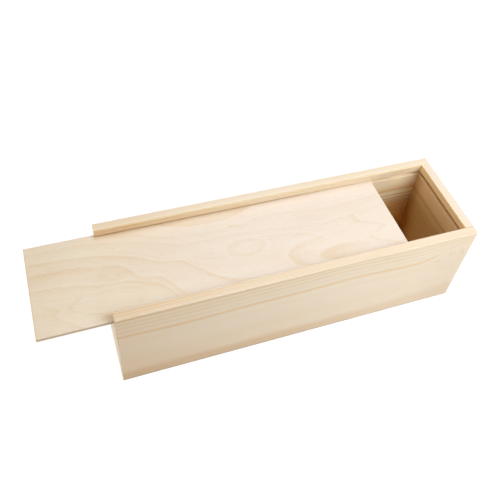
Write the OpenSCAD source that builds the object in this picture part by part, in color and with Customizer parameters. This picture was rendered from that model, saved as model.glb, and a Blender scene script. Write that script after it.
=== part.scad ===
// Long wooden box with a sliding lid.
// Two full-length side boards carry a groove near the top and a rebate at the bottom. The end boards
// stand between them on the floor. One end board is lowered, so that the lid slides out over it, and
// the other is full height and grooved on its inner face to take the lid's end when it is shut.
// Origin: the centre of the underside of the box. +Z is up, +X points to the grooved end.

/* [Box] */
// Outside length, along the way that the lid slides
box_l = 350; // [250:1:500]
// Outside width across the side boards
box_w = 106; // [90:1:200]
// Outside height
box_h = 105; // [80:1:200]

/* [Boards] */
// Thickness of the two side boards
side_t = 9; // [8:0.5:14]
// Thickness of the two end boards
end_t = 9.4; // [8:0.2:14]
// Thickness of the plywood floor
floor_t = 4; // [3:0.5:6]
// Radius of the sanded outer arrises
arris_r = 0.8; // [0.4:0.1:1.5]

/* [Lid] */
// Thickness of the plywood lid
lid_t = 4; // [3:0.5:6]
// How far the lid stands out over the low end
lid_out = 62; // [0:1:200]
// Radius of the sanded edges of the lid
lid_arris_r = 0.4; // [0.2:0.1:1]

/* [Grooves and rebate] */
// Height of the lip that is left above the groove
lip_h = 7.8; // [6:0.2:14]
// Depth of the groove in a side board
side_groove_d = 3.5; // [2:0.1:5]
// Depth of the groove in the grooved end board
end_groove_d = 4; // [2:0.1:5]
// Width of the rebate that takes a long edge of the floor
rebate_w = 4.5; // [3:0.1:6]

/* [Clearances] */
// From the top of the lid up to the lip
lid_play = 0.6; // [0.3:0.1:1.5]
// From each long edge of the lid to the bottom of its groove
lid_side_gap = 0.4; // [0.2:0.1:1]
// From the end of the shut lid to the bottom of the end groove
lid_end_gap = 0.3; // [0.1:0.1:1]
// From the low end board up to the lid that slides over it
low_end_gap = 0.3; // [0.1:0.1:0.6]
// From a pin to the wall of its hole, on the radius
pin_gap = 0.03; // [0.02:0.01:0.06]

/* [Pins] */
// Diameter of the headless pins
pin_d = 0.64; // [0.6:0.02:1]
// Length of a pin's pointed tip
pin_tip_l = 1.2; // [0.8:0.1:2]
// How far a pin is driven below the wood
pin_set = 0.5; // [0.2:0.1:1]
// Whole length of the pins through the side boards
end_pin_l = 25; // [18:1:35]
// Pins in each corner of the box
end_pin_n = 3; // [2:1:4]
// From the floor up to the lowest pin, and from the low end's top down to the highest
end_pin_inset = 12; // [8:1:20]
// Whole length of the pins through the floor
floor_pin_l = 18; // [12:1:25]
// Pins along each side of the floor
floor_pin_n = 5; // [3:1:7]
// From the ends of the floor to its first pins
floor_pin_inset = 22; // [16:1:40]
// From the tips of the end pins to the pins in the ends of the floor
floor_end_pin_gap = 5; // [3:1:8]

/* [Hidden] */

pine = [0.90, 0.77, 0.58];
plywood = [0.93, 0.84, 0.70];
steel = [0.62, 0.62, 0.63];

// Cuts start this far outside the wood
over = 1;
// Facets around sanded arrises and around pins
arris_fn = 48;
pin_fn = 32;

groove_h = lid_t + lid_play;
ledge_z = box_h - lip_h - groove_h;
inside_w = box_w - 2 * side_t;
end_x = box_l / 2 - end_t / 2;
floor_w = inside_w + 2 * rebate_w;
low_end_z = ledge_z - low_end_gap;

lid_w = inside_w + 2 * (side_groove_d - lid_side_gap);
lid_l = box_l - end_t + end_groove_d - lid_end_gap;

// Rows of pins
end_pin_low = floor_t + end_pin_inset;
end_pin_pitch = (low_end_z - end_pin_inset - end_pin_low) / (end_pin_n - 1);
floor_pin_y = inside_w / 2 + rebate_w / 2;
floor_pin_pitch = (box_l - 2 * floor_pin_inset) / (floor_pin_n - 1);
floor_end_pin_y = box_w / 2 - pin_set - end_pin_l - floor_end_pin_gap;

// A rectangle centred on x, standing on y = 0, with the corners at its foot (0) or its top (1) rounded
module eased_rect(w, h, r, rounded = [0, 1]) {
    difference() {
        translate([-w / 2, 0]) square([w, h]);
        for (side = [-1, 1], top = rounded)
            translate([side * w / 2, top * h]) mirror([side > 0 ? 1 : 0, 0]) mirror([0, top]) arris(r);
    }
}

// What sanding takes off a corner at the origin, where the wood lies towards +x and +y
module arris(r) {
    difference() {
        translate([-over, -over]) square(r + over);
        translate([r, r]) circle(r, $fn = arris_fn);
    }
}

// The children, cut to the sanded outside of the assembled box
module sanded() {
    intersection() {
        children();
        translate([0, box_w / 2, 0]) rotate([90, 0, 0])
            linear_extrude(box_w) eased_rect(box_l, box_h, arris_r);
        translate([-box_l / 2, 0, 0]) rotate([90, 0, 90])
            linear_extrude(box_l) eased_rect(box_w, box_h, arris_r);
        translate([0, -box_w / 2, 0])
            linear_extrude(box_h) eased_rect(box_l, box_w, arris_r);
    }
}

// One headless pin, driven along +z from its blunt end at the origin
module pin(l) {
    cylinder(h = l - pin_tip_l, d = pin_d, $fn = pin_fn);
    translate([0, 0, l - pin_tip_l]) cylinder(h = pin_tip_l, d1 = pin_d, d2 = 0, $fn = pin_fn);
}

// The hole that a pin leaves below a face at the origin
module pin_hole(l) {
    translate([0, 0, -over])
        cylinder(h = over + pin_set + l, d = pin_d + 2 * pin_gap, $fn = pin_fn);
}

// The children, at every pin that is driven through the side boards into the end boards
module at_end_pins(sides = [-1, 1], ends = [-1, 1]) {
    for (side = sides, end = ends, i = [0 : end_pin_n - 1])
        translate([end * end_x, side * box_w / 2, end_pin_low + i * end_pin_pitch])
            rotate([side * 90, 0, 0]) children();
}

// The children, at every pin that is driven up through the long edges of the floor
module at_side_floor_pins(sides = [-1, 1]) {
    for (side = sides, i = [0 : floor_pin_n - 1])
        translate([-box_l / 2 + floor_pin_inset + i * floor_pin_pitch, side * floor_pin_y, 0])
            children();
}

// The children, at every pin that is driven up through the ends of the floor
module at_end_floor_pins(ends = [-1, 1]) {
    for (end = ends, side = [-1, 1])
        translate([end * end_x, side * floor_end_pin_y, 0]) children();
}

// Cross-section of a side board: x from the outer face inwards, y up
module side_profile() {
    difference() {
        square([side_t, box_h]);
        translate([side_t - side_groove_d, ledge_z]) square([side_groove_d + over, groove_h]);
        translate([side_t - rebate_w, -over]) square([rebate_w + over, over + floor_t]);
        translate([side_t, box_h]) mirror([1, 0]) mirror([0, 1]) arris(arris_r);
    }
}

// The side board at y < 0; the other one is its mirror image
module side_board() {
    difference() {
        sanded()
            translate([-box_l / 2, -box_w / 2, 0]) rotate([90, 0, 90])
                linear_extrude(box_l) side_profile();
        at_end_pins(sides = [-1]) pin_hole(end_pin_l);
        at_side_floor_pins(sides = [-1]) pin_hole(floor_pin_l);
    }
}

module right_side_board() {
    color(pine) side_board();
}

module left_side_board() {
    color(pine) mirror([0, 1, 0]) side_board();
}

// An end board of a given height over the underside, between the side boards and on the floor
module end_board(end, h) {
    difference() {
        translate([end * end_x, inside_w / 2, floor_t]) rotate([90, 0, 0])
            linear_extrude(inside_w) eased_rect(end_t, h - floor_t, arris_r, rounded = [1]);
        at_end_pins(ends = [end]) pin_hole(end_pin_l);
        at_end_floor_pins(ends = [end]) pin_hole(floor_pin_l);
    }
}

// The end board under the lid, kept just clear of it
module low_end_board() {
    color(pine) end_board(-1, low_end_z);
}

// The full-height end board, grooved to take the end of the lid
module grooved_end_board() {
    color(pine) difference() {
        end_board(1, box_h);
        translate([end_x - end_t / 2 - over, -inside_w / 2 - over, ledge_z])
            cube([over + end_groove_d, inside_w + 2 * over, groove_h]);
    }
}

module floor_panel() {
    color(plywood) difference() {
        sanded()
            translate([-box_l / 2, -floor_w / 2, 0]) cube([box_l, floor_w, floor_t]);
        at_side_floor_pins() pin_hole(floor_pin_l);
        at_end_floor_pins() pin_hole(floor_pin_l);
    }
}

// The lid lies on the ledges below the grooves, partly drawn out over the low end
module sliding_lid() {
    color(plywood) translate([-box_l / 2 - lid_out + lid_l / 2, 0, ledge_z])
        intersection() {
            translate([0, lid_w / 2, 0]) rotate([90, 0, 0])
                linear_extrude(lid_w) eased_rect(lid_l, lid_t, lid_arris_r);
            translate([-lid_l / 2, 0, 0]) rotate([90, 0, 90])
                linear_extrude(lid_l) eased_rect(lid_w, lid_t, lid_arris_r);
            translate([0, -lid_w / 2, 0])
                linear_extrude(lid_t) eased_rect(lid_l, lid_w, lid_arris_r);
        }
}

module end_pins() {
    color(steel) at_end_pins() translate([0, 0, pin_set]) pin(end_pin_l);
}

module floor_pins() {
    color(steel) {
        at_side_floor_pins() translate([0, 0, pin_set]) pin(floor_pin_l);
        at_end_floor_pins() translate([0, 0, pin_set]) pin(floor_pin_l);
    }
}

right_side_board();
left_side_board();
low_end_board();
grooved_end_board();
floor_panel();
sliding_lid();
end_pins();
floor_pins();
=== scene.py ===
# %% [markdown]
# # A long box with a sliding lid, in pine and plywood
#
# The box is a plain piece of joinery: two grooved side boards, a full end, a low end that the
# lid passes over, a plywood floor and a thin plywood lid. Its solids come ready made from the
# CAD model, in metres, with their rounded arrises and their grooves. So no piece is rebuilt
# here: this lesson is about light, about the camera, and above all about wood, which has to be
# right on every face that a saw or a plane has cut.

# %% Load the solids
import math

import bpy
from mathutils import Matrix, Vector


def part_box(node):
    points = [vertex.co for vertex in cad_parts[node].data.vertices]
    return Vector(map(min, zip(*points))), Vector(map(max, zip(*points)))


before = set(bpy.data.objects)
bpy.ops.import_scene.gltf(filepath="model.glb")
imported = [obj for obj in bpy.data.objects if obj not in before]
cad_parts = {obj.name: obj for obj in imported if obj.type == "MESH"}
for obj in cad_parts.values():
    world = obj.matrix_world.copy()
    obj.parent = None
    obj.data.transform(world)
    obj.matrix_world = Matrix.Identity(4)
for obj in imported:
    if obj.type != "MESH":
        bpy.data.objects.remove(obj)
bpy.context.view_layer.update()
print("solids:", ", ".join(sorted(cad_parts)))

# %% [markdown]
# ## How big the boards are
#
# A wood pattern is laid out from the edges of its own board, so every board is measured first.
# The answers are kept in millimetres, because a joiner thinks of grain in millimetres.

# %% Measure the boards in millimetres
MM = 1000.0


def board_box(node):
    """The lowest and the highest corner of a board, in millimetres."""
    low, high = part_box(node)
    return low * MM, high * MM


SIDE = board_box("right_side_board")
FULL_END = board_box("grooved_end_board")
LID = board_box("sliding_lid")
FLOOR = board_box("floor_panel")
for label, (low, high) in (("side", SIDE), ("full end", FULL_END), ("lid", LID), ("floor", FLOOR)):
    print(label, [round(n, 1) for n in low], "to", [round(n, 1) for n in high])

BOX_END = round(SIDE[1].x, 1)  # the sawn ends of the side boards, from the middle of the box
SIDE_FACE = round(-SIDE[1].y, 1)  # the inner face of a side board, from the middle
END_FACE = round(FULL_END[0].x, 1)  # the inner face of the full end
TOP = round(SIDE[1].z, 1)  # the top edges of the full-height boards
LEDGE = round(LID[0].z, 1)  # the ledge that the lid lies on, which is the foot of the groove
LIP = LEDGE + 4.6  # the roof of the groove
GROOVE_BACK = SIDE_FACE + 3.5  # the back of the groove in a side board
print("ends", BOX_END, "faces", SIDE_FACE, END_FACE, "top", TOP, "ledge", LEDGE)

# %% [markdown]
# ## The camera
#
# The picture was taken from above the open end, looking down and to the right along the box. A
# camera in Blender looks along its own -Z, so the three angles say how far it is tipped up from
# looking straight down, how far it leans, and how far it is turned. The small shift moves the
# box up in the frame and leaves its perspective alone.

# %% Place the camera
camera = bpy.data.objects.new("camera", bpy.data.cameras.new("camera"))
bpy.context.scene.collection.objects.link(camera)
bpy.context.scene.camera = camera
camera.location = (-0.19307, -0.33739, 0.56522)
camera.rotation_euler = [math.radians(a) for a in (41.2149, -5.3736, -19.6728)]
camera.data.sensor_width = 36.0
camera.data.lens = 46.232
camera.data.shift_x = -0.0292
camera.data.shift_y = -0.0818
print("camera height", round(camera.location.z, 3), "m")

# %% [markdown]
# ## Light
#
# Pale wood on a white ground wants broad, soft light, as from large white panels round a table.
# A tall panel stands close to the front right and is the strongest, one hangs almost overhead,
# and one stands low on the left. A weak world fills what they miss. The panels are kept out of
# the camera's sight, because from a low angle one of them would stand in the view.

# %% Hang three soft panels
AIM = Vector((0.0, 0.0, 0.05))


def soft_panel(name, azimuth, elevation, distance, width, height, power, colour):
    """A panel of light that faces the box. Azimuth 0 is in front and 90 to the right."""
    lamp = bpy.data.lights.new(name, "AREA")
    lamp.shape, lamp.size, lamp.size_y = "RECTANGLE", width, height
    lamp.energy, lamp.color = power, colour
    panel = bpy.data.objects.new(name, lamp)
    bpy.context.scene.collection.objects.link(panel)
    a, e = math.radians(azimuth), math.radians(elevation)
    towards = Vector((math.sin(a) * math.cos(e), -math.cos(a) * math.cos(e), math.sin(e)))
    panel.location = AIM + towards * distance
    panel.rotation_euler = towards.to_track_quat("Z", "Y").to_euler()
    panel.visible_camera = False
    return panel


key = soft_panel(
    "key_panel", azimuth=48, elevation=44, distance=1.0, width=0.6, height=0.95, power=9.6,
    colour=(0.99, 1.0, 1.02),
)
top = soft_panel(
    "top_panel", azimuth=175, elevation=70, distance=1.2, width=0.8, height=0.8, power=4.2,
    colour=(1.0, 0.99, 0.98),
)
left = soft_panel(
    "left_panel", azimuth=-90, elevation=20, distance=1.3, width=0.8, height=0.8, power=6.8,
    colour=(1.0, 0.98, 0.95),
)
print("panels:", key.name, top.name, left.name)

# %% [markdown]
# ## The material workbench
#
# A wood finish is a long sum: rings, fibres, knots, tones. Wired by hand it is a wall of nodes.
# Here a `Wire` stands for the output of a node, and ordinary arithmetic on it adds the Math
# nodes, so that a finish reads like the sum it is. A `Finish` is one material. Its `node` makes
# any node there is: the settings go in first, then the numbers or the wires of its sockets.

# %% Nodes written as arithmetic
class Wire:
    """The output of a node, which sums can be done with."""

    def __init__(self, finish, socket):
        self.finish, self.socket = finish, socket

    def __add__(self, other):
        return maths("ADD", self, other)

    def __sub__(self, other):
        return maths("SUBTRACT", self, other)

    def __rsub__(self, other):
        return maths("SUBTRACT", other, self)

    def __mul__(self, other):
        return maths("MULTIPLY", self, other)

    def __truediv__(self, other):
        return maths("DIVIDE", self, other)

    def __pow__(self, other):
        return maths("POWER", self, other)

    __radd__, __rmul__ = __add__, __mul__


class Finish:
    """One material, with the shader that its nodes feed."""

    def __init__(self, name):
        self.material = bpy.data.materials.new(name)
        self.material.use_nodes = True
        self.tree = self.material.node_tree
        self.shader = self.tree.nodes["Principled BSDF"]

    def node(self, kind, settings=None, sockets=None, output=0):
        made = self.tree.nodes.new(kind)
        for name, value in (settings or {}).items():
            if name == "points":
                draw_curve(made.mapping, value)
            else:
                setattr(made, name, value)
        for name, value in (sockets or {}).items():
            self.feed(made.inputs[name], value)
        return Wire(self, made.outputs[output])

    def feed(self, socket, value):
        if isinstance(value, Wire):
            self.tree.links.new(value.socket, socket)
        else:
            socket.default_value = value


def maths(operation, *values):
    """A Math node, in the material of the first wire among its values."""
    finish = next(value.finish for value in values if isinstance(value, Wire))
    return finish.node("ShaderNodeMath", {"operation": operation}, dict(enumerate(values)))


def draw_curve(mapping, points):
    """Gives a Float Curve node its points, from left to right."""
    curve = mapping.curves[0]
    while len(curve.points) < len(points):
        curve.points.new(0.5, 0.5)
    for made, place in zip(curve.points, points):
        made.location = place
    mapping.update()


print("workbench ready")

# %% [markdown]
# A few shapes come back in every finish: a soft step up or down, a bell, a mix of two colours, a
# stain laid over a colour, and noise that can be stretched, because nothing in wood is as wide as
# it is long. They join the workbench as short functions.

# %% Steps, bells, stains and noise
def step(x, low, high):
    """Rises softly from 0 at low to 1 at high."""
    return x.finish.node(
        "ShaderNodeMapRange",
        {"interpolation_type": "SMOOTHSTEP"},
        {"Value": x, "From Min": low, "From Max": high},
    )


def drop(x, low, high):
    """Falls softly from 1 at low to 0 at high."""
    return 1.0 - step(x, low, high)


def bell(x, centre, width):
    """1 at centre, fading to a third at one width from it."""
    far = (x - centre) / width
    return maths("EXPONENT", far * far * -1.0)


def total(wires):
    """The sum of several wires."""
    first, *others = wires
    return sum(others, start=first)


def vector(x, y, z):
    """A point made from three wires or numbers."""
    finish = next(n.finish for n in (x, y, z) if isinstance(n, Wire))
    return finish.node("ShaderNodeCombineXYZ", {}, {"X": x, "Y": y, "Z": z})


def noise(x, y, z, detail=2.0, roughness=0.5):
    """Cloudy noise from 0 to 1 that averages a half. Stretch it by dividing x, y or z."""
    return x.finish.node(
        "ShaderNodeTexNoise",
        {"noise_dimensions": "3D"},
        {"Vector": vector(x, y, z), "Scale": 1.0, "Detail": detail, "Roughness": roughness},
    )


def blend(factor, one, other):
    """One colour where factor is 0 and the other where it is 1."""
    return factor.finish.node(
        "ShaderNodeMix", {"data_type": "RGBA"}, {0: factor, 6: one, 7: other}, 2
    )


def stain(colour, tone, strength):
    """The colour, multiplied by a tone as far as strength says."""
    return strength.finish.node(
        "ShaderNodeMix",
        {"data_type": "RGBA", "blend_type": "MULTIPLY"},
        {0: strength, 6: colour, 7: tone},
        2,
    )


def rgba(red, green, blue):
    return (red, green, blue, 1.0)


def places(finish):
    """Where a point of the surface is, in millimetres along x, y and z."""
    where = finish.node("ShaderNodeTexCoord", {}, {}, "Object")
    axes = [finish.node("ShaderNodeSeparateXYZ", {}, {0: where}, n) for n in "XYZ"]
    return [axis * MM for axis in axes]


print("shapes ready")

# %% [markdown]
# ## Pine
#
# Each board was once part of a trunk, so its rings are tubes round a pith that lies somewhere
# outside the board. If the shader works out how far a point is from that pith, the lines on the
# broad face, the narrow stripes on the edge and the arcs on the sawn end all come out of one
# sum and meet at every corner. A texture laid on each face could not do that.
#
# A ring is pale early wood that darkens slowly into a narrow band of late wood, and then stops
# short. Where rings grow thinner outwards, the ring number rises faster than the radius.

# %% Count the rings from the pith
def ring_number(radius, first, slope, bend):
    """Counts rings outwards from the one whose late wood lies at the first radius."""
    out = radius - first
    return out * slope + out * out * bend


def late_wood(count, rise=0.42, fall=0.30):
    """1 on the dark late wood of each ring: a slow rise to a whole number, a quicker fall."""
    phase = maths("FRACT", count + 0.5) - 0.5
    return step(phase, -rise, 0.0) * drop(phase, 0.0, fall)


def vigour(count, seed):
    """How dark each ring is. Summers differ, and the first marked ring is the boldest."""
    ring = maths("FLOOR", count + 0.5) + seed
    luck = count.finish.node("ShaderNodeTexWhiteNoise", {"noise_dimensions": "1D"}, {"W": ring})
    return luck * 0.35 + 0.55 + bell(count, 0.0, 0.45) * 0.35


print("rings ready")

# %% [markdown]
# The fibres lie along the board. Cut open by the plane they leave pale and dark streaks, a few
# tenths of a millimetre wide and several centimetres long, and now and then a resin canal as a
# thin brown dash. Across the sawn end the same rings are seen as fine arcs.
#
# The outside of the box was sanded after it was put together. The inside never was, and keeps
# the deeper tan that the boards came with, deepened further as painted warm shade. Late wood
# stands out more strongly there.

# %% The pine finish
SANDED = rgba(0.835, 0.715, 0.562)
LATE = rgba(0.95, 0.835, 0.625)
# The two inside colours, for late wood and for the rest, are partly painted warm shade.
LATE_WOOD_AND_PAINTED_SHADE = rgba(0.78, 0.62, 0.45)
WARM = rgba(0.99, 0.975, 0.95)
FIBRE = rgba(0.93, 0.88, 0.81)
SAWN_END = rgba(0.98, 0.97, 0.96)
RESIN = rgba(0.72, 0.52, 0.33)
TAN_AND_PAINTED_SHADE = rgba(0.88, 0.655, 0.39)


def pine(
    name,
    along,
    pith,
    rings,
    inner,
    inside_tan_and_painted_light,
    sanded=SANDED,
    drift=None,
    parting=None,
    faint=None,
    tones=(),
    seed=0.0,
):
    """Solid pine. along is the fibres' axis, and pith lies in thickness and height. inner says
    where the unsanded inside is, and inside_tan_and_painted_light is its colour, a deeper tan
    partly painted as the shade and light inside the box. drift and parting bend the rings, faint
    says where they hardly show, and tones stain the wood."""
    finish = Finish(name)
    finish.feed(finish.shader.inputs["Specular IOR Level"], 0.25)
    x, y, z = places(finish)
    length, thick = (x, y) if along == "x" else (y, x)
    wander = noise(length / 90.0, thick / 40.0, z / 40.0 + seed) - 0.5
    shiver = noise(length / 11.0, thick / 1.9, z / 1.9 + seed) - 0.5
    height = z + wander * 4.0 + shiver * 0.5
    if drift:
        height = height + drift(length)
    across, up = thick - pith[0], height - pith[1]
    count = ring_number((across * across + up * up) ** 0.5, *rings)
    if parting:
        count = parting(count, length, z)
    marked = step(count, -0.6, -0.3) * 0.85 + 0.15
    line = late_wood(count) * vigour(count, seed) * marked
    if faint:
        line = line * (1.0 - faint(x, y, z) * 0.8)
    streak = noise(length / 30.0, thick * 1.4, z * 1.4 + seed, 4.0, 0.62) - 0.5
    cloud = noise(length / 120.0, thick / 30.0, z / 30.0 + seed) - 0.5
    canal = noise(length / 7.0, thick * 2.6, z * 2.6 - seed, 1.0)
    inside = inner(x, y, z)
    sawn = step(length * length, (BOX_END - 0.8) ** 2, (BOX_END - 0.2) ** 2)
    # The inside colour is partly painted warm shade.
    colour = blend(inside, sanded, inside_tan_and_painted_light)
    colour = stain(colour, LATE, line * (1.0 + sawn * 0.3))
    colour = stain(colour, LATE_WOOD_AND_PAINTED_SHADE, line * inside)
    colour = stain(colour, WARM, step(cloud, -0.2, 0.25))
    colour = stain(colour, FIBRE, step(streak, -0.05, 0.3) * 0.75)
    colour = stain(colour, RESIN, step(canal, 0.72, 0.8) * (line * 0.5 + 0.15))
    colour = stain(colour, SAWN_END, sawn)
    for tone, reach in tones:
        colour = stain(colour, tone, reach(x, y, z))
    finish.feed(finish.shader.inputs["Base Color"], colour)
    finish.feed(finish.shader.inputs["Roughness"], 0.6 - line * 0.08 + streak * 0.15 + inside * 0.1)
    relief = {"Height": line * 0.5 + streak, "Distance": 0.00005, "Strength": 0.5}
    finish.feed(finish.shader.inputs["Normal"], finish.node("ShaderNodeBump", {}, relief))
    return finish.material


print("pine ready")

# %% [markdown]
# ## The near board
#
# Its heart lay level with the middle of the board and 130 mm behind its face. So the middle of
# the face cuts the trunk almost along one ring and is plain, and the rings come out as lines
# towards the top, closer and closer together, and again at the foot. They rise and fall a
# little along the board. At its right end a branch grew, and the rings part to go round it.

# %% Bend the rings of the near board
def near_drift(length):
    """Where the lines of the near board lie lower, and where they lie higher."""
    low = bell(length, -120.0, 35.0) * 1.5 + bell(length, 117.0, 25.0) * 1.8
    return low - bell(length, 40.0, 40.0) * 2.4


def round_the_knot(count, length, z):
    """Lowers the ring count round a knot, so that the lines rise to pass over it."""
    return count - bell(length, 176.0, 31.0) * bell(z, 80.0, 21.0) * 3.6


print("rings of the near board bent")

# %% [markdown]
# What the rings don't explain is laid on as tones. A tone is a colour to multiply with, and a
# short function says how strongly it reaches each point: 0 is not at all, and 1 is fully. The
# same kind of function says where the unsanded inside is and where rings hardly show.

# %% Say where the near board differs
# The marks that the branch left: where along the box, how high, how wide and how tall.
KNOT_MARKS = [(141.0, 71.0, 3.4, 2.0), (153.5, 79.0, 1.3, 4.4), (157.0, 80.0, 1.0, 4.0),
              (165.5, 80.0, 1.1, 5.2), (169.0, 76.0, 0.9, 4.0)]


def side_inside(x, y, z):
    """The inside of a side board and of its groove, up to the lip over the lid, but not the
    sawn ends."""
    skin = drop(y * y, (GROOVE_BACK + 0.1) ** 2, (GROOVE_BACK + 0.4) ** 2)
    board = drop(x * x, (BOX_END - 1.2) ** 2, (BOX_END - 0.6) ** 2)
    return skin * drop(z, LIP - 0.2, LIP + 0.2) * board


def foot_band(x, y, z):
    """The lowest part of the face, where the late wood runs together. It is taller and paler
    at the right end."""
    rise = bell(x, 185.0, 60.0) * 9.0
    band = drop(z - rise + noise(x / 40.0, y / 60.0, z / 5.0) * 5.0, 11.0, 24.0)
    return band * (1.0 - step(x, -60.0, 200.0) * 0.55)


def hardly_marked(x, y, z):
    """Where single rings hardly show: at the foot, along the second line except at its left
    end, and on the top edge, which cuts them so nearly square that they lie close together."""
    second = bell(z, 85.0, 3.0) * step(x, -150.0, -60.0) * 0.8
    return drop(z, 28.0, 36.0) * 1.2 + step(z, TOP - 1.0, TOP - 0.2) * 0.9 + second


def painted_foot_shade(x, y, z):
    """The bottom arris, painted a bluish grey as the shade where the box meets the table."""
    return drop(z, 0.4, 4.0) * (1.0 - step(x, -100.0, 260.0) * 0.5)


def knot_specks(x, y, z):
    """The soft dark marks that the branch left in the face."""
    soft = total(bell(x + (z - v) * 0.25, u, w) * bell(z, v, h) for u, v, w, h in KNOT_MARKS)
    return soft * step(noise(x / 3.0, y, z / 2.0), 0.25, 0.6)


def bold_stripes(x, y, z):
    """Two bold lines of late wood on the top edge and one just below it on the face, which
    fade out towards the right."""
    on_top = (bell(y, -46.4, 0.65) + bell(y, -49.1, 0.5) * 0.9) * step(z, TOP - 0.8, TOP - 0.3)
    on_face = bell(z, 102.4, 1.0) * drop(y, -52.8, -52.2)
    return (on_top + on_face) * drop(x, -178.0, 140.0)


def fine_stripes(x, y, z):
    """Four faint lines along the whole top edge."""
    bent = y + noise(x / 80.0, y / 9.0, 4.0) * 0.5
    lines = total(bell(bent, at, 0.3) for at in (-45.0, -47.5, -50.2, -51.4))
    return lines * step(z, TOP - 0.8, TOP - 0.3) * noise(x / 30.0, y, z)


def warm_left(x, y, z):
    """The left third of the board, which is a little warmer in colour, but not its sawn end."""
    return drop(x, -200.0, -40.0) * step(x, 0.2 - BOX_END, 0.7 - BOX_END)


def warm_foot(x, y, z):
    """The lower half of the face, which is yellower, most of all towards the left."""
    return drop(z, 30.0, 66.0) * (1.0 - step(x, -130.0, 150.0) * 0.7)


def painted_shade_left(x, y, z):
    """The left half of the face and the whole top edge, painted duller than the rest of the face
    as shade.
    """
    return maths("MAXIMUM", drop(x, -70.0, 60.0), step(z, TOP - 1.0, TOP - 0.4) * 0.8)


def dull_right(x, y, z):
    """The last few centimetres of the face, round the knot and most of all below it."""
    return step(x, 110.0, 172.0) * (1.0 - step(z, 60.0, 104.0) * 0.7)


print(len(KNOT_MARKS), "marks round the knot")

# %% Finish the near board
near_pine = pine(
    "near_pine",
    "x",
    pith=(77.0, 50.0),
    rings=(132.8, 0.545, 0.0),
    inner=side_inside,
    inside_tan_and_painted_light=TAN_AND_PAINTED_SHADE,
    sanded=rgba(0.87, 0.752, 0.60),
    drift=near_drift,
    parting=round_the_knot,
    faint=hardly_marked,
    tones=[
        (rgba(0.89, 0.80, 0.69), foot_band),
        (rgba(0.76, 0.81, 0.91), painted_foot_shade),
        (rgba(0.90, 0.83, 0.75), knot_specks),
        (rgba(0.88, 0.76, 0.57), bold_stripes),
        (rgba(0.90, 0.80, 0.70), fine_stripes),
        (rgba(0.93, 0.88, 0.82), warm_left),
        (rgba(0.975, 0.95, 0.91), warm_foot),
        (rgba(0.96, 0.95, 0.935), painted_shade_left),
        (rgba(0.94, 0.93, 0.915), dull_right),
    ],
    seed=3.0,
)
print("finished:", near_pine.name)

# %% [markdown]
# ## The other boards
#
# The far board came from nearer the heart of its tree, whose rings show on its inner face, a
# third of the way down. The two end boards were cut across the box, so their fibres run from
# side to side. The inner face of the full end has one thin dark line, and is browner below it,
# partly by its grain and partly as painted shade.
# Short boards show how unlike each other the years are, so their rings are spaced unevenly.

# %% Say where the full end differs
def end_inside(x, y, z):
    """The inner face of an end board, right up to its top edge, and the inside of its groove."""
    groove = step(z, LEDGE - 0.4, LEDGE - 0.1) * drop(z, LIP + 0.4, LIP + 1.2)
    return drop(maths("ABSOLUTE", x) - groove * 3.8, END_FACE + 0.4, END_FACE + 0.8)


def uneven_height(x, y, z):
    """The height, shifted a little by noise, so that a level line isn't quite straight."""
    return z + noise(x / 9.0, y / 30.0, z / 9.0)


def grain_and_shade_below_line(x, y, z):
    """The full end below its one dark line, the brownest part of the box, partly by grain and
    partly as painted shade.
    """
    return end_inside(x, y, z) * drop(uneven_height(x, y, z), 71.8, 73.6)


def the_line(x, y, z):
    """The dark line itself."""
    return end_inside(x, y, z) * bell(uneven_height(x, y, z), 73.0, 0.6) * 0.4


def wall_below_painted_lit_lip(x, y, z):
    """The full end's inner face below the groove, browner than the lip above it, whose
    colour is raised as painted light.
    """
    below = drop(z, LEDGE - 1.4, LEDGE - 0.8)
    return end_inside(x, y, z) * below * (step(z, 62.0, 76.0) * 0.85 + 0.15)


def painted_corner_shade(x, y, z):
    """The far corner of the full end, painted darker as shade, darkest at its foot."""
    corner = step(y, 14.0, 44.0) * drop(z, 10.0, 64.0) + step(y, 28.0, 44.0) * 0.6
    return end_inside(x, y, z) * corner * drop(z, LEDGE - 1.0, LEDGE - 0.4)


def painted_groove_shade(x, y, z):
    """The back and the roof of the end board's groove, painted brown as the shade inside it."""
    deep = step(x, END_FACE + 2.0, END_FACE + 2.8) * drop(x, END_FACE + 4.8, END_FACE + 5.4)
    return deep * step(z, LEDGE - 0.6, LEDGE - 0.2) * drop(z, LIP + 0.6, LIP + 1.2)


def inside_with_painted_lit_ledge(x, y, z):
    """The full end's inside, painted paler on the front arris of the ledge, where light falls on
    it.
    """
    near_ledge = step(z, LEDGE - 1.6, LEDGE - 0.6) * drop(z, LEDGE + 0.2, LEDGE + 0.8)
    arris = near_ledge * drop(x, END_FACE + 0.8, END_FACE + 1.8)
    return end_inside(x, y, z) * (1.0 - arris * 0.3)


def uneven_years(count, length, z):
    """Moves each ring a little towards the one before or after it."""
    return count + noise(count * 0.43, 0.0, z / 400.0) * 1.5 - 0.75


print("places on the ends ready")

# %% Say where the far board differs
def far_inside(x, y, z):
    """The far board's inner face up to the groove, which was cut fresh and is half as brown."""
    return side_inside(x, y, z) * (1.0 - step(z, LEDGE - 0.5, LEDGE - 0.1) * 0.5)


def first_ring(x, y, z):
    """The topmost ring on the far board's inner face, which is paler than those below it."""
    return side_inside(x, y, z) * step(z, 72.0, 76.0) * 0.7


def painted_shade_low_far_side(x, y, z):
    """The lower half of the far board's inner face, painted darker as shade."""
    return side_inside(x, y, z) * drop(z, 46.0, 66.0)


def painted_deep_shade(x, y, z):
    """The deeper half of the inside, painted browner towards the floor as shade."""
    return side_inside(x, y, z) * drop(z, 10.0, 60.0)


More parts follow.
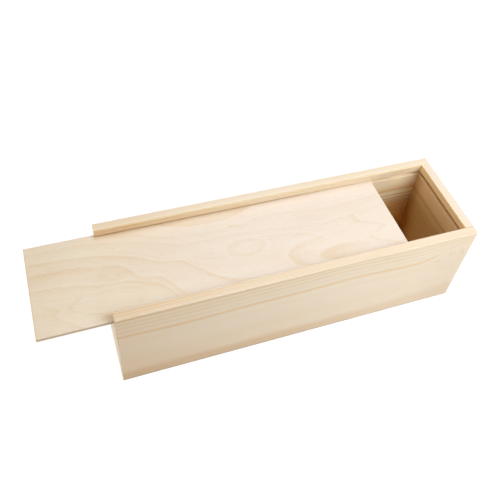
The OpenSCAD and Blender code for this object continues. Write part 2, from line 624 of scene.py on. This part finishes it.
def late_wood_and_shade_under_lip(x, y, z):
    """A brown line along the bottom of the far lip, partly late wood and partly painted shadow
    where the lip meets the lid. It leaves the face of the lip towards the right."""
    on_lip = drop(y, SIDE_FACE + 0.3, SIDE_FACE + 1.4) * step(z, LIP - 0.6, LIP - 0.2)
    return on_lip * bell(z, LIP - 0.2, 1.4) * drop(x, 0.0, 100.0)


def lip_face(x, y, z):
    """The inner face of the far lip."""
    return step(z, LIP - 0.3, LIP + 0.1) * drop(y, SIDE_FACE + 0.2, SIDE_FACE + 0.9)


def painted_light_beyond_lid(x, y, z):
    """The lip beyond the lid's end, and the top of the wall in the corner, painted paler as light.
    """
    wall = side_inside(x, y, z) * step(x, 128.0, 146.0) * step(z, 60.0, 68.0)
    return lip_face(x, y, z) * step(x, 98.0, 116.0) + wall * 0.8


def orange_lip(x, y, z):
    """The left half of the lip's face, in orange streaks with one pale streak between them."""
    streaks = step(noise(x / 40.0, y, z / 1.6), 0.3, 0.6)
    pale = bell(x, -118.0, 22.0) * bell(z - x / 90.0, 101.4, 0.7)
    return lip_face(x, y, z) * bell(x, -180.0, 130.0) * streaks * (1.0 - pale)


def outer_rail(x, y, z):
    """The outer two thirds of the far board's top edge, pinker than the inner third."""
    return step(z, TOP - 1.0, TOP - 0.2) * step(y + noise(x / 60.0, y, z) * 0.8, 47.4, 48.6)


print("places on the far board ready")

# %% Finish the far board and the ends
far_pine = pine(
    "far_pine",
    "x",
    pith=(-56.0, 93.0),
    rings=(101.8, 0.33, 0.059),
    inner=far_inside,
    inside_tan_and_painted_light=rgba(0.97, 0.83, 0.59),
    sanded=rgba(0.875, 0.79, 0.665),
    faint=first_ring,
    tones=[
        (rgba(0.88, 0.70, 0.46), painted_shade_low_far_side),
        (rgba(1.0, 0.90, 0.66), painted_deep_shade),
        (rgba(0.66, 0.49, 0.31), late_wood_and_shade_under_lip),
        (rgba(0.955, 0.895, 0.79), lip_face),
        (rgba(1.13, 1.12, 1.10), painted_light_beyond_lid),
        (rgba(0.91, 0.80, 0.65), orange_lip),
        (rgba(0.975, 0.945, 0.92), outer_rail),
        (rgba(0.935, 0.875, 0.80), warm_left),
    ],
    seed=11.0,
)
full_end_pine = pine(
    "full_end_pine",
    "y",
    pith=(246.0, 95.0),
    rings=(83.7, 0.28, 0.0),
    inner=inside_with_painted_lit_ledge,
    # The full end's inside colour is raised as painted light on its lip, which stands in shade.
    inside_tan_and_painted_light=rgba(0.94, 0.68, 0.36),
    sanded=rgba(0.83, 0.715, 0.585),
    parting=uneven_years,
    faint=grain_and_shade_below_line,
    tones=[
        (rgba(0.89, 0.84, 0.79), wall_below_painted_lit_lip),
        (rgba(1.0, 0.97, 0.84), grain_and_shade_below_line),
        (rgba(0.68, 0.49, 0.23), painted_corner_shade),
        (rgba(0.88, 0.80, 0.70), the_line),
        (rgba(0.72, 0.52, 0.32), painted_groove_shade),
    ],
    seed=23.0,
)
low_end_pine = pine(
    "low_end_pine",
    "y",
    pith=(-292.0, -30.0),
    rings=(120.8, 0.25, 0.004),
    inner=end_inside,
    inside_tan_and_painted_light=TAN_AND_PAINTED_SHADE,
    parting=uneven_years,
    seed=37.0,
)
print("finished:", far_pine.name, full_end_pine.name, low_end_pine.name)

# %% [markdown]
# ## Plywood
#
# The lid and the floor are three sheets of veneer. The two outer sheets were peeled off a log
# as paper comes off a roll, so the knife ran nearly along the rings and drew them out into
# wide, wandering shapes: long lines, loops and tongues. Each has one crisp edge, where the late
# wood stopped, and fades away on its other side. The middle sheet lies crossways, and shows on
# the long edges as a darker core.
#
# Noise alone gives shapes of this kind, but not these shapes. So the longest lines of the lid
# are drawn: a Float Curve node holds the course of each line, and the shader works out how far
# a point lies below it. Loops are ellipses with the same crisp edge.

# %% Draw lines and loops of veneer
SHEET_L, SHEET_W = (round(size, 1) for size in (LID[1] - LID[0]).xy)


def crisp_edge(below, fade, rippled=0.35):
    """Dark just past an edge, fading over some millimetres in fine ripples, and a little pale
    before it."""
    past = step(below, -0.5, 0.6)
    away = maths("MAXIMUM", below, 0.0) / fade
    ripple = maths("COSINE", below * 2.9) * rippled + (1.0 - rippled)
    return past * maths("EXPONENT", away * -1.0) * ripple - bell(below, -1.8, 1.4) * 0.3


def between(x, ends):
    """1 between two ends and soft at both."""
    return step(x, ends[0] - 6.0, ends[0] + 3.0) * drop(x, ends[1] - 3.0, ends[1] + 6.0)


def course_of(x, length, points, low, high):
    """The course of a drawn line, from a Float Curve whose ends stand for low and high."""
    span = high - low
    placed = [(a / length, (b - low) / span) for a, b in points]
    curve = x.finish.node("ShaderNodeFloatCurve", {"points": placed}, {"Value": x / length})
    return curve * span + low


def line_along(u, v, points, dark, fade, ends=(-20.0, 400.0)):
    """A line that wanders from left to right."""
    course = course_of(u, SHEET_L, points, -10.0, 160.0)
    return crisp_edge(v - course, fade) * between(u, ends) * dark


def line_down(u, v, points, dark, fade, ends):
    """A line that zigzags from the far edge towards the near one, crisp on its right."""
    course = course_of(v, SHEET_W, points, 0.0, SHEET_L)
    return crisp_edge(course - u, fade) * between(v, ends) * dark


def loop(u, v, centre, radii, dark, fade, strongest=None):
    """An oval with its crisp edge outwards, darkest near one place along the sheet."""
    across, down = (u - centre[0]) / radii[0], (v - centre[1]) / radii[1]
    out = (across * across + down * down) ** 0.5
    ring = crisp_edge((1.0 - out) * min(radii), fade, 0.12) * dark
    return ring * bell(u, *strongest) if strongest else ring


print("veneer lines ready")

# %% Lay out the lid's figure, in millimetres from the left end and from the far edge
LID_LINES = [
    dict(dark=0.5, fade=3.0, points=[(0, -5), (60, 0), (95, 7), (112, 16), (140, 22), (175, 24),
         (200, 22), (218, 19), (240, 19), (262, 24), (300, 24), (344, 21)]),
    dict(dark=0.45, fade=4.0, points=[(0, 8), (50, 9), (80, 14), (100, 19), (120, 26), (135, 31),
         (175, 32), (215, 35), (250, 40), (285, 42), (310, 38), (344, 32)]),
    dict(dark=0.9, fade=3.5, points=[(0, 20), (62, 25), (95, 36), (112, 45), (130, 49), (140, 57),
         (155, 72), (170, 80), (185, 85), (215, 92), (344, 110)]),
    dict(dark=0.5, fade=2.5, points=[(0, 10), (70, 22), (100, 33), (115, 42), (132, 46),
         (143, 56), (158, 74), (172, 83), (200, 94), (344, 112)], ends=(80.0, 400.0)),
    dict(dark=0.7, fade=9.0, points=[(0, 31), (37, 32), (55, 36), (68, 37.5), (80, 42), (87, 50),
         (94, 57), (108, 61), (117, 70), (127, 84), (140, 94), (344, 130)]),
    dict(dark=0.75, fade=3.5, points=[(0, 47.5), (37, 51), (57, 56), (82, 58.5), (92, 62),
         (105, 67), (112, 73), (118, 82), (125, 92), (344, 150)]),
    dict(dark=0.45, fade=3.0, points=[(0, 62), (30, 65), (60, 62), (82, 64), (92, 68), (97, 78),
         (101, 90), (344, 155)], ends=(50.0, 400.0)),
    dict(dark=0.55, fade=2.0, points=[(0, 42), (205, 42), (238, 46), (258, 52), (264, 56),
         (344, 80)], ends=(208.0, 262.0)),
    dict(dark=0.55, fade=5.0, points=[(0, 62), (225, 62), (240, 59.5), (262, 57), (344, 56)],
         ends=(232.0, 266.0)),
]
LID_ZIGZAGS = [
    dict(dark=0.8, fade=5.0, ends=(44.0, 90.0), points=[(0, 305), (43, 307), (50, 311), (56, 325),
         (61, 334), (65, 325), (70, 316), (75, 319), (81, 332), (94, 344)]),
    dict(dark=0.6, fade=5.0, ends=(66.0, 100.0), points=[(0, 10), (63, 12), (67, 15), (72, 22),
         (77, 19), (85, 27), (94, 38)]),
    dict(dark=0.6, fade=4.0, ends=(64.0, 100.0), points=[(0, 45), (60, 44), (66, 40), (72, 32),
         (78, 37), (82, 48), (94, 75)]),
]
LID_LOOPS = [
    dict(centre=(166.0, -6.0), radii=(52.0, 20.0), dark=0.6, fade=8.0),
    dict(centre=(192.0, 51.0), radii=(19.0, 9.5), dark=0.5, fade=2.4),
    dict(centre=(72.0, 47.0), radii=(15.0, 8.0), dark=0.3, fade=4.0, strongest=(66.0, 14.0)),
    dict(centre=(250.0, 74.0), radii=(23.0, 14.0), dark=0.7, fade=7.0, strongest=(232.0, 14.0)),
    dict(centre=(281.0, 79.0), radii=(27.0, 8.0), dark=0.7, fade=8.0, strongest=(268.0, 26.0)),
]
print(len(LID_LINES) + len(LID_ZIGZAGS) + len(LID_LOOPS), "marks in the figure")

# %% Two kinds of figure
GRAIN_RUN = [(0, 14), (50, 16), (90, 24), (120, 38), (150, 52), (185, 58), (250, 58), (344, 52)]
# The spots: their place, their length and width, and how dark they are.
LID_SPOTS = [(185.0, 22.6, 1.5, 1.0, 1.2), (9.0, 18.8, 5.0, 1.3, 0.5), (88.0, 80.0, 3.0, 2.0, 0.6)]


def drawn_figure(u, v):
    """The lid's upper face: how dark the figure is, from the drawn lines. Noise pushes every
    line about and lets it come and go, as the knife and the log did. Fine threads run with the
    lines, and a few small spots are left from twigs."""
    sway = noise(u / 22.0, v / 12.0, 5.0, 3.0, 0.6) - 0.5
    jig = noise(u / 4.0, v / 2.2, 9.0, 3.0, 0.7) - 0.5
    come_and_go = noise(u / 25.0, v / 5.0, 14.0, 2.0)
    fray = noise(u / 7.0, v / 0.9, 3.0, 2.0)
    run = course_of(u, SHEET_L, GRAIN_RUN, -10.0, 160.0)
    threads = noise(u / 34.0, (v - run + sway * 6.0) / 1.5, 2.0, 3.0, 0.65) - 0.5
    spots = [bell(u, a, w) * bell(v, b, h) * dark for a, b, w, h, dark in LID_SPOTS]
    u, v = u + sway * 7.0 + jig * 7.0, v + sway * 4.0 + jig * 3.2
    dark = [line_along(u, v, **line) for line in LID_LINES]
    dark += [line_down(u, v, **line) for line in LID_ZIGZAGS]
    dark += [loop(u, v, **line) for line in LID_LOOPS]
    drawn = total(dark) * (come_and_go + 0.5) * (fray + 0.85)
    return drawn + step(threads, -0.05, 0.35) * 0.7 + total(spots)


def chance_figure(u, v, seed):
    """A face that no one has drawn: the contour lines of a stretched hill of noise."""
    jig = noise(u / 4.0, v / 2.2, seed + 1.0, 3.0, 0.7) - 0.5
    hill = noise(u / 110.0, v / 34.0, seed, 2.5, 0.45) * 13.0 + v / 30.0 + jig * 0.25
    phase = maths("FRACT", hill)
    threads = noise(u / 34.0, v / 1.5, seed + 2.0, 3.0, 0.65) - 0.5
    figure = step(phase, 0.0, 0.06) * drop(phase, 0.04, 0.7) * 0.8
    return figure + step(threads, -0.05, 0.35) * 0.5


print(len(LID_SPOTS), "spots on the lid")

# %% [markdown]
# The rest of the plywood finish is shared by the lid and the floor: the pale veneer, its fine
# short pores, the core along the edges, and the scraped look of veneer cut across at the ends.

# %% The plywood finish
YELLOW_VENEER = rgba(0.785, 0.678, 0.535)
PALE_VENEER = rgba(0.815, 0.715, 0.612)
FIGURE = rgba(0.93, 0.855, 0.735)
PORE = rgba(0.945, 0.915, 0.86)
CORE = rgba(0.56, 0.39, 0.23)
CUT_PLY = rgba(0.94, 0.84, 0.68)
WARM_CLOUD = rgba(0.975, 0.95, 0.915)


def painted_lip_end_shadow(u, v):
    """A brown painted shadow on the lid, cast by the end of the near board's lip."""
    return bell(u + v * 0.8, 132.0, 9.0) * bell(v, 88.5, 3.4)


def painted_far_lip_shade(u, v):
    """The lid's far edge, painted browner as shade beside the far lip."""
    return bell(v, 1.5, 3.6) * step(u, 55.0, 75.0) * (1.0 - step(u, 80.0, 330.0) * 0.5)


def yellow_end(u, v):
    """The left end, which sticks out of the box and has yellowed in the light."""
    return drop(u + v * 0.3, 10.0, 62.0)


def unsanded(u, v):
    """Patches of deeper tan on the floor, which was never sanded."""
    return noise(u / 50.0, v / 25.0, 3.0) * 0.6 + 0.7


def plywood(name, box, figure, backing, tones=(), seed=0.0):
    """Three-ply sheet with one figure on its upper face and another on its lower. tones stain
    the upper face."""
    finish = Finish(name)
    x, y, z = places(finish)
    low, high = box
    veneer = (high.z - low.z) / 4.0
    u, v = x - low.x, high.y - y
    upper = step(z, low.z + veneer, high.z - veneer)
    line = figure(u, v) * upper + backing(u, v) * (1.0 - upper)
    core = step(z, low.z + veneer, low.z + veneer + 0.1)
    core = core * drop(z, high.z - veneer - 0.1, high.z - veneer)
    cut = drop(u, 0.4, 1.3) + step(u, high.x - low.x - 0.6, high.x - low.x - 0.2)
    pore = noise(x / 5.0, y * 1.3, z * 1.5 + seed, 3.0, 0.6) - 0.5
    cloud = noise(x / 60.0, y / 18.0, z / 5.0 + seed) - 0.5
    speck = noise(x * 1.1, y * 1.1, z * 1.1, 2.0) - 0.5
    colour = blend(step(u + cloud * 120.0, 40.0, 210.0), YELLOW_VENEER, PALE_VENEER)
    colour = stain(colour, FIGURE, line)
    colour = stain(colour, PORE, step(pore, 0.0, 0.25))
    colour = stain(colour, WARM_CLOUD, step(cloud, -0.1, 0.25))
    for tone, reach in tones:
        colour = stain(colour, tone, reach(u, v) * upper)
    colour = stain(colour, CUT_PLY, cut * (1.0 - core) * (speck + 0.9))
    colour = blend(core * (0.85 + speck * 0.5), colour, CORE)
    finish.feed(finish.shader.inputs["Base Color"], colour)
    finish.feed(finish.shader.inputs["Roughness"], 0.56 + pore * 0.15 + core * 0.2)
    relief = {"Height": pore - line * 0.3 - core * 1.5, "Distance": 0.00004, "Strength": 0.5}
    finish.feed(finish.shader.inputs["Normal"], finish.node("ShaderNodeBump", {}, relief))
    return finish.material


lid_ply = plywood(
    "lid_plywood",
    LID,
    drawn_figure,
    lambda u, v: chance_figure(u, v, 4.0),
    tones=[
        (rgba(0.96, 0.85, 0.69), painted_lip_end_shadow),
        (rgba(0.93, 0.85, 0.70), painted_far_lip_shade),
        (rgba(0.965, 0.945, 0.91), yellow_end),
    ],
)
floor_ply = plywood(
    "floor_plywood",
    FLOOR,
    lambda u, v: chance_figure(u, v, 21.0),
    lambda u, v: chance_figure(u, v, 33.0),
    tones=[(rgba(0.95, 0.84, 0.66), unsanded)],
    seed=7.0,
)
print("plywood ready")

# %% [markdown]
# ## Pins
#
# The joints are glued and pinned with thin bright wire pins, sunk below the surface. Hardly any
# of one is ever seen, but where one is, it is drawn steel: grey, shiny, and scored along.

# %% Finish the pins
steel = Finish("pin_wire")
score = noise(*(axis * 6.0 for axis in places(steel)))
steel.feed(steel.shader.inputs["Base Color"], rgba(0.56, 0.55, 0.53))
steel.feed(steel.shader.inputs["Metallic"], 1.0)
steel.feed(steel.shader.inputs["Roughness"], score * 0.2 + 0.25)
print("pins ready")

# %% Put the finishes on
FINISHES = {
    "right_side_board": near_pine,
    "left_side_board": far_pine,
    "low_end_board": low_end_pine,
    "grooved_end_board": full_end_pine,
    "floor_panel": floor_ply,
    "sliding_lid": lid_ply,
    "end_pins": steel.material,
    "floor_pins": steel.material,
}
for name, material in FINISHES.items():
    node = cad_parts[name]
    node.data.materials.clear()
    node.data.materials.append(material)
print(len(FINISHES), "solids finished")

# %% [markdown]
# ## The ground
#
# The box stands on a white table that has no edge. For the camera the table glows a little, so
# that it is white all round and only the box's own shadow shows on it. Far off it is as white
# as the sky, so that there is no horizon. For every other ray it is a plain pale surface, which
# throws light back up at the boards as a real table does.

# %% What the camera sees
WHITE = rgba(1.0, 1.0, 1.0)


def seen_directly(finish):
    """1 for what the camera sees, straight, mirrored in gloss or through glass."""
    camera_ray, glossy_ray, glass_ray = (
        finish.node("ShaderNodeLightPath", {}, {}, f"Is {kind} Ray")
        for kind in ("Camera", "Glossy", "Transmission")
    )
    return maths("MAXIMUM", camera_ray, maths("MAXIMUM", glossy_ray, glass_ray))


# %% Lay the table
bpy.ops.mesh.primitive_plane_add(size=12.0, location=(0.0, 0.0, -0.0002))
table = bpy.context.object
table.name = "table"

ground = Finish("white_table")
ground.feed(ground.shader.inputs["Base Color"], rgba(0.8, 0.8, 0.8))
ground.feed(ground.shader.inputs["Roughness"], 0.9)
seen = seen_directly(ground)
x, y, _ = places(ground)
far_off = step((x * x + y * y) ** 0.5, 400.0, 1500.0)
glow = ground.node("ShaderNodeEmission", {}, {"Color": WHITE, "Strength": 0.94})
dim = ground.node("ShaderNodeBsdfDiffuse", {}, {"Color": rgba(0.13, 0.13, 0.13)})
lit = ground.node("ShaderNodeAddShader", {}, {0: glow, 1: dim})
horizon = ground.node("ShaderNodeEmission", {}, {"Color": WHITE, "Strength": 1.0})
lit = ground.node("ShaderNodeMixShader", {}, {0: far_off, 1: lit, 2: horizon})
solid = Wire(ground, ground.shader.outputs["BSDF"])
both = ground.node("ShaderNodeMixShader", {}, {0: seen, 1: solid, 2: lit})
under = ground.node("ShaderNodeNewGeometry", {}, {}, "Backfacing")
clear = ground.node("ShaderNodeBsdfTransparent")
whole = ground.node("ShaderNodeMixShader", {}, {0: under, 1: both, 2: clear})
ground.feed(ground.tree.nodes["Material Output"].inputs["Surface"], whole)
table.data.materials.append(ground.material)

# %% Light the world
class Surroundings(Finish):
    """The world's nodes, wired in the same way as a material's."""

    def __init__(self, name):
        self.world = bpy.data.worlds.new(name)
        self.world.use_nodes = True
        self.tree = self.world.node_tree


studio = Surroundings("studio")
bpy.context.scene.world = studio.world
fill = studio.node("ShaderNodeBackground", {}, {"Color": WHITE, "Strength": 0.16})
white = studio.node("ShaderNodeBackground", {}, {"Color": WHITE, "Strength": 1.0})
sky = studio.node("ShaderNodeMixShader", {}, {0: seen_directly(studio), 1: fill, 2: white})
studio.feed(studio.tree.nodes["World Output"].inputs["Surface"], sky)
bpy.context.scene.view_settings.view_transform = "Standard"
print("world lit")
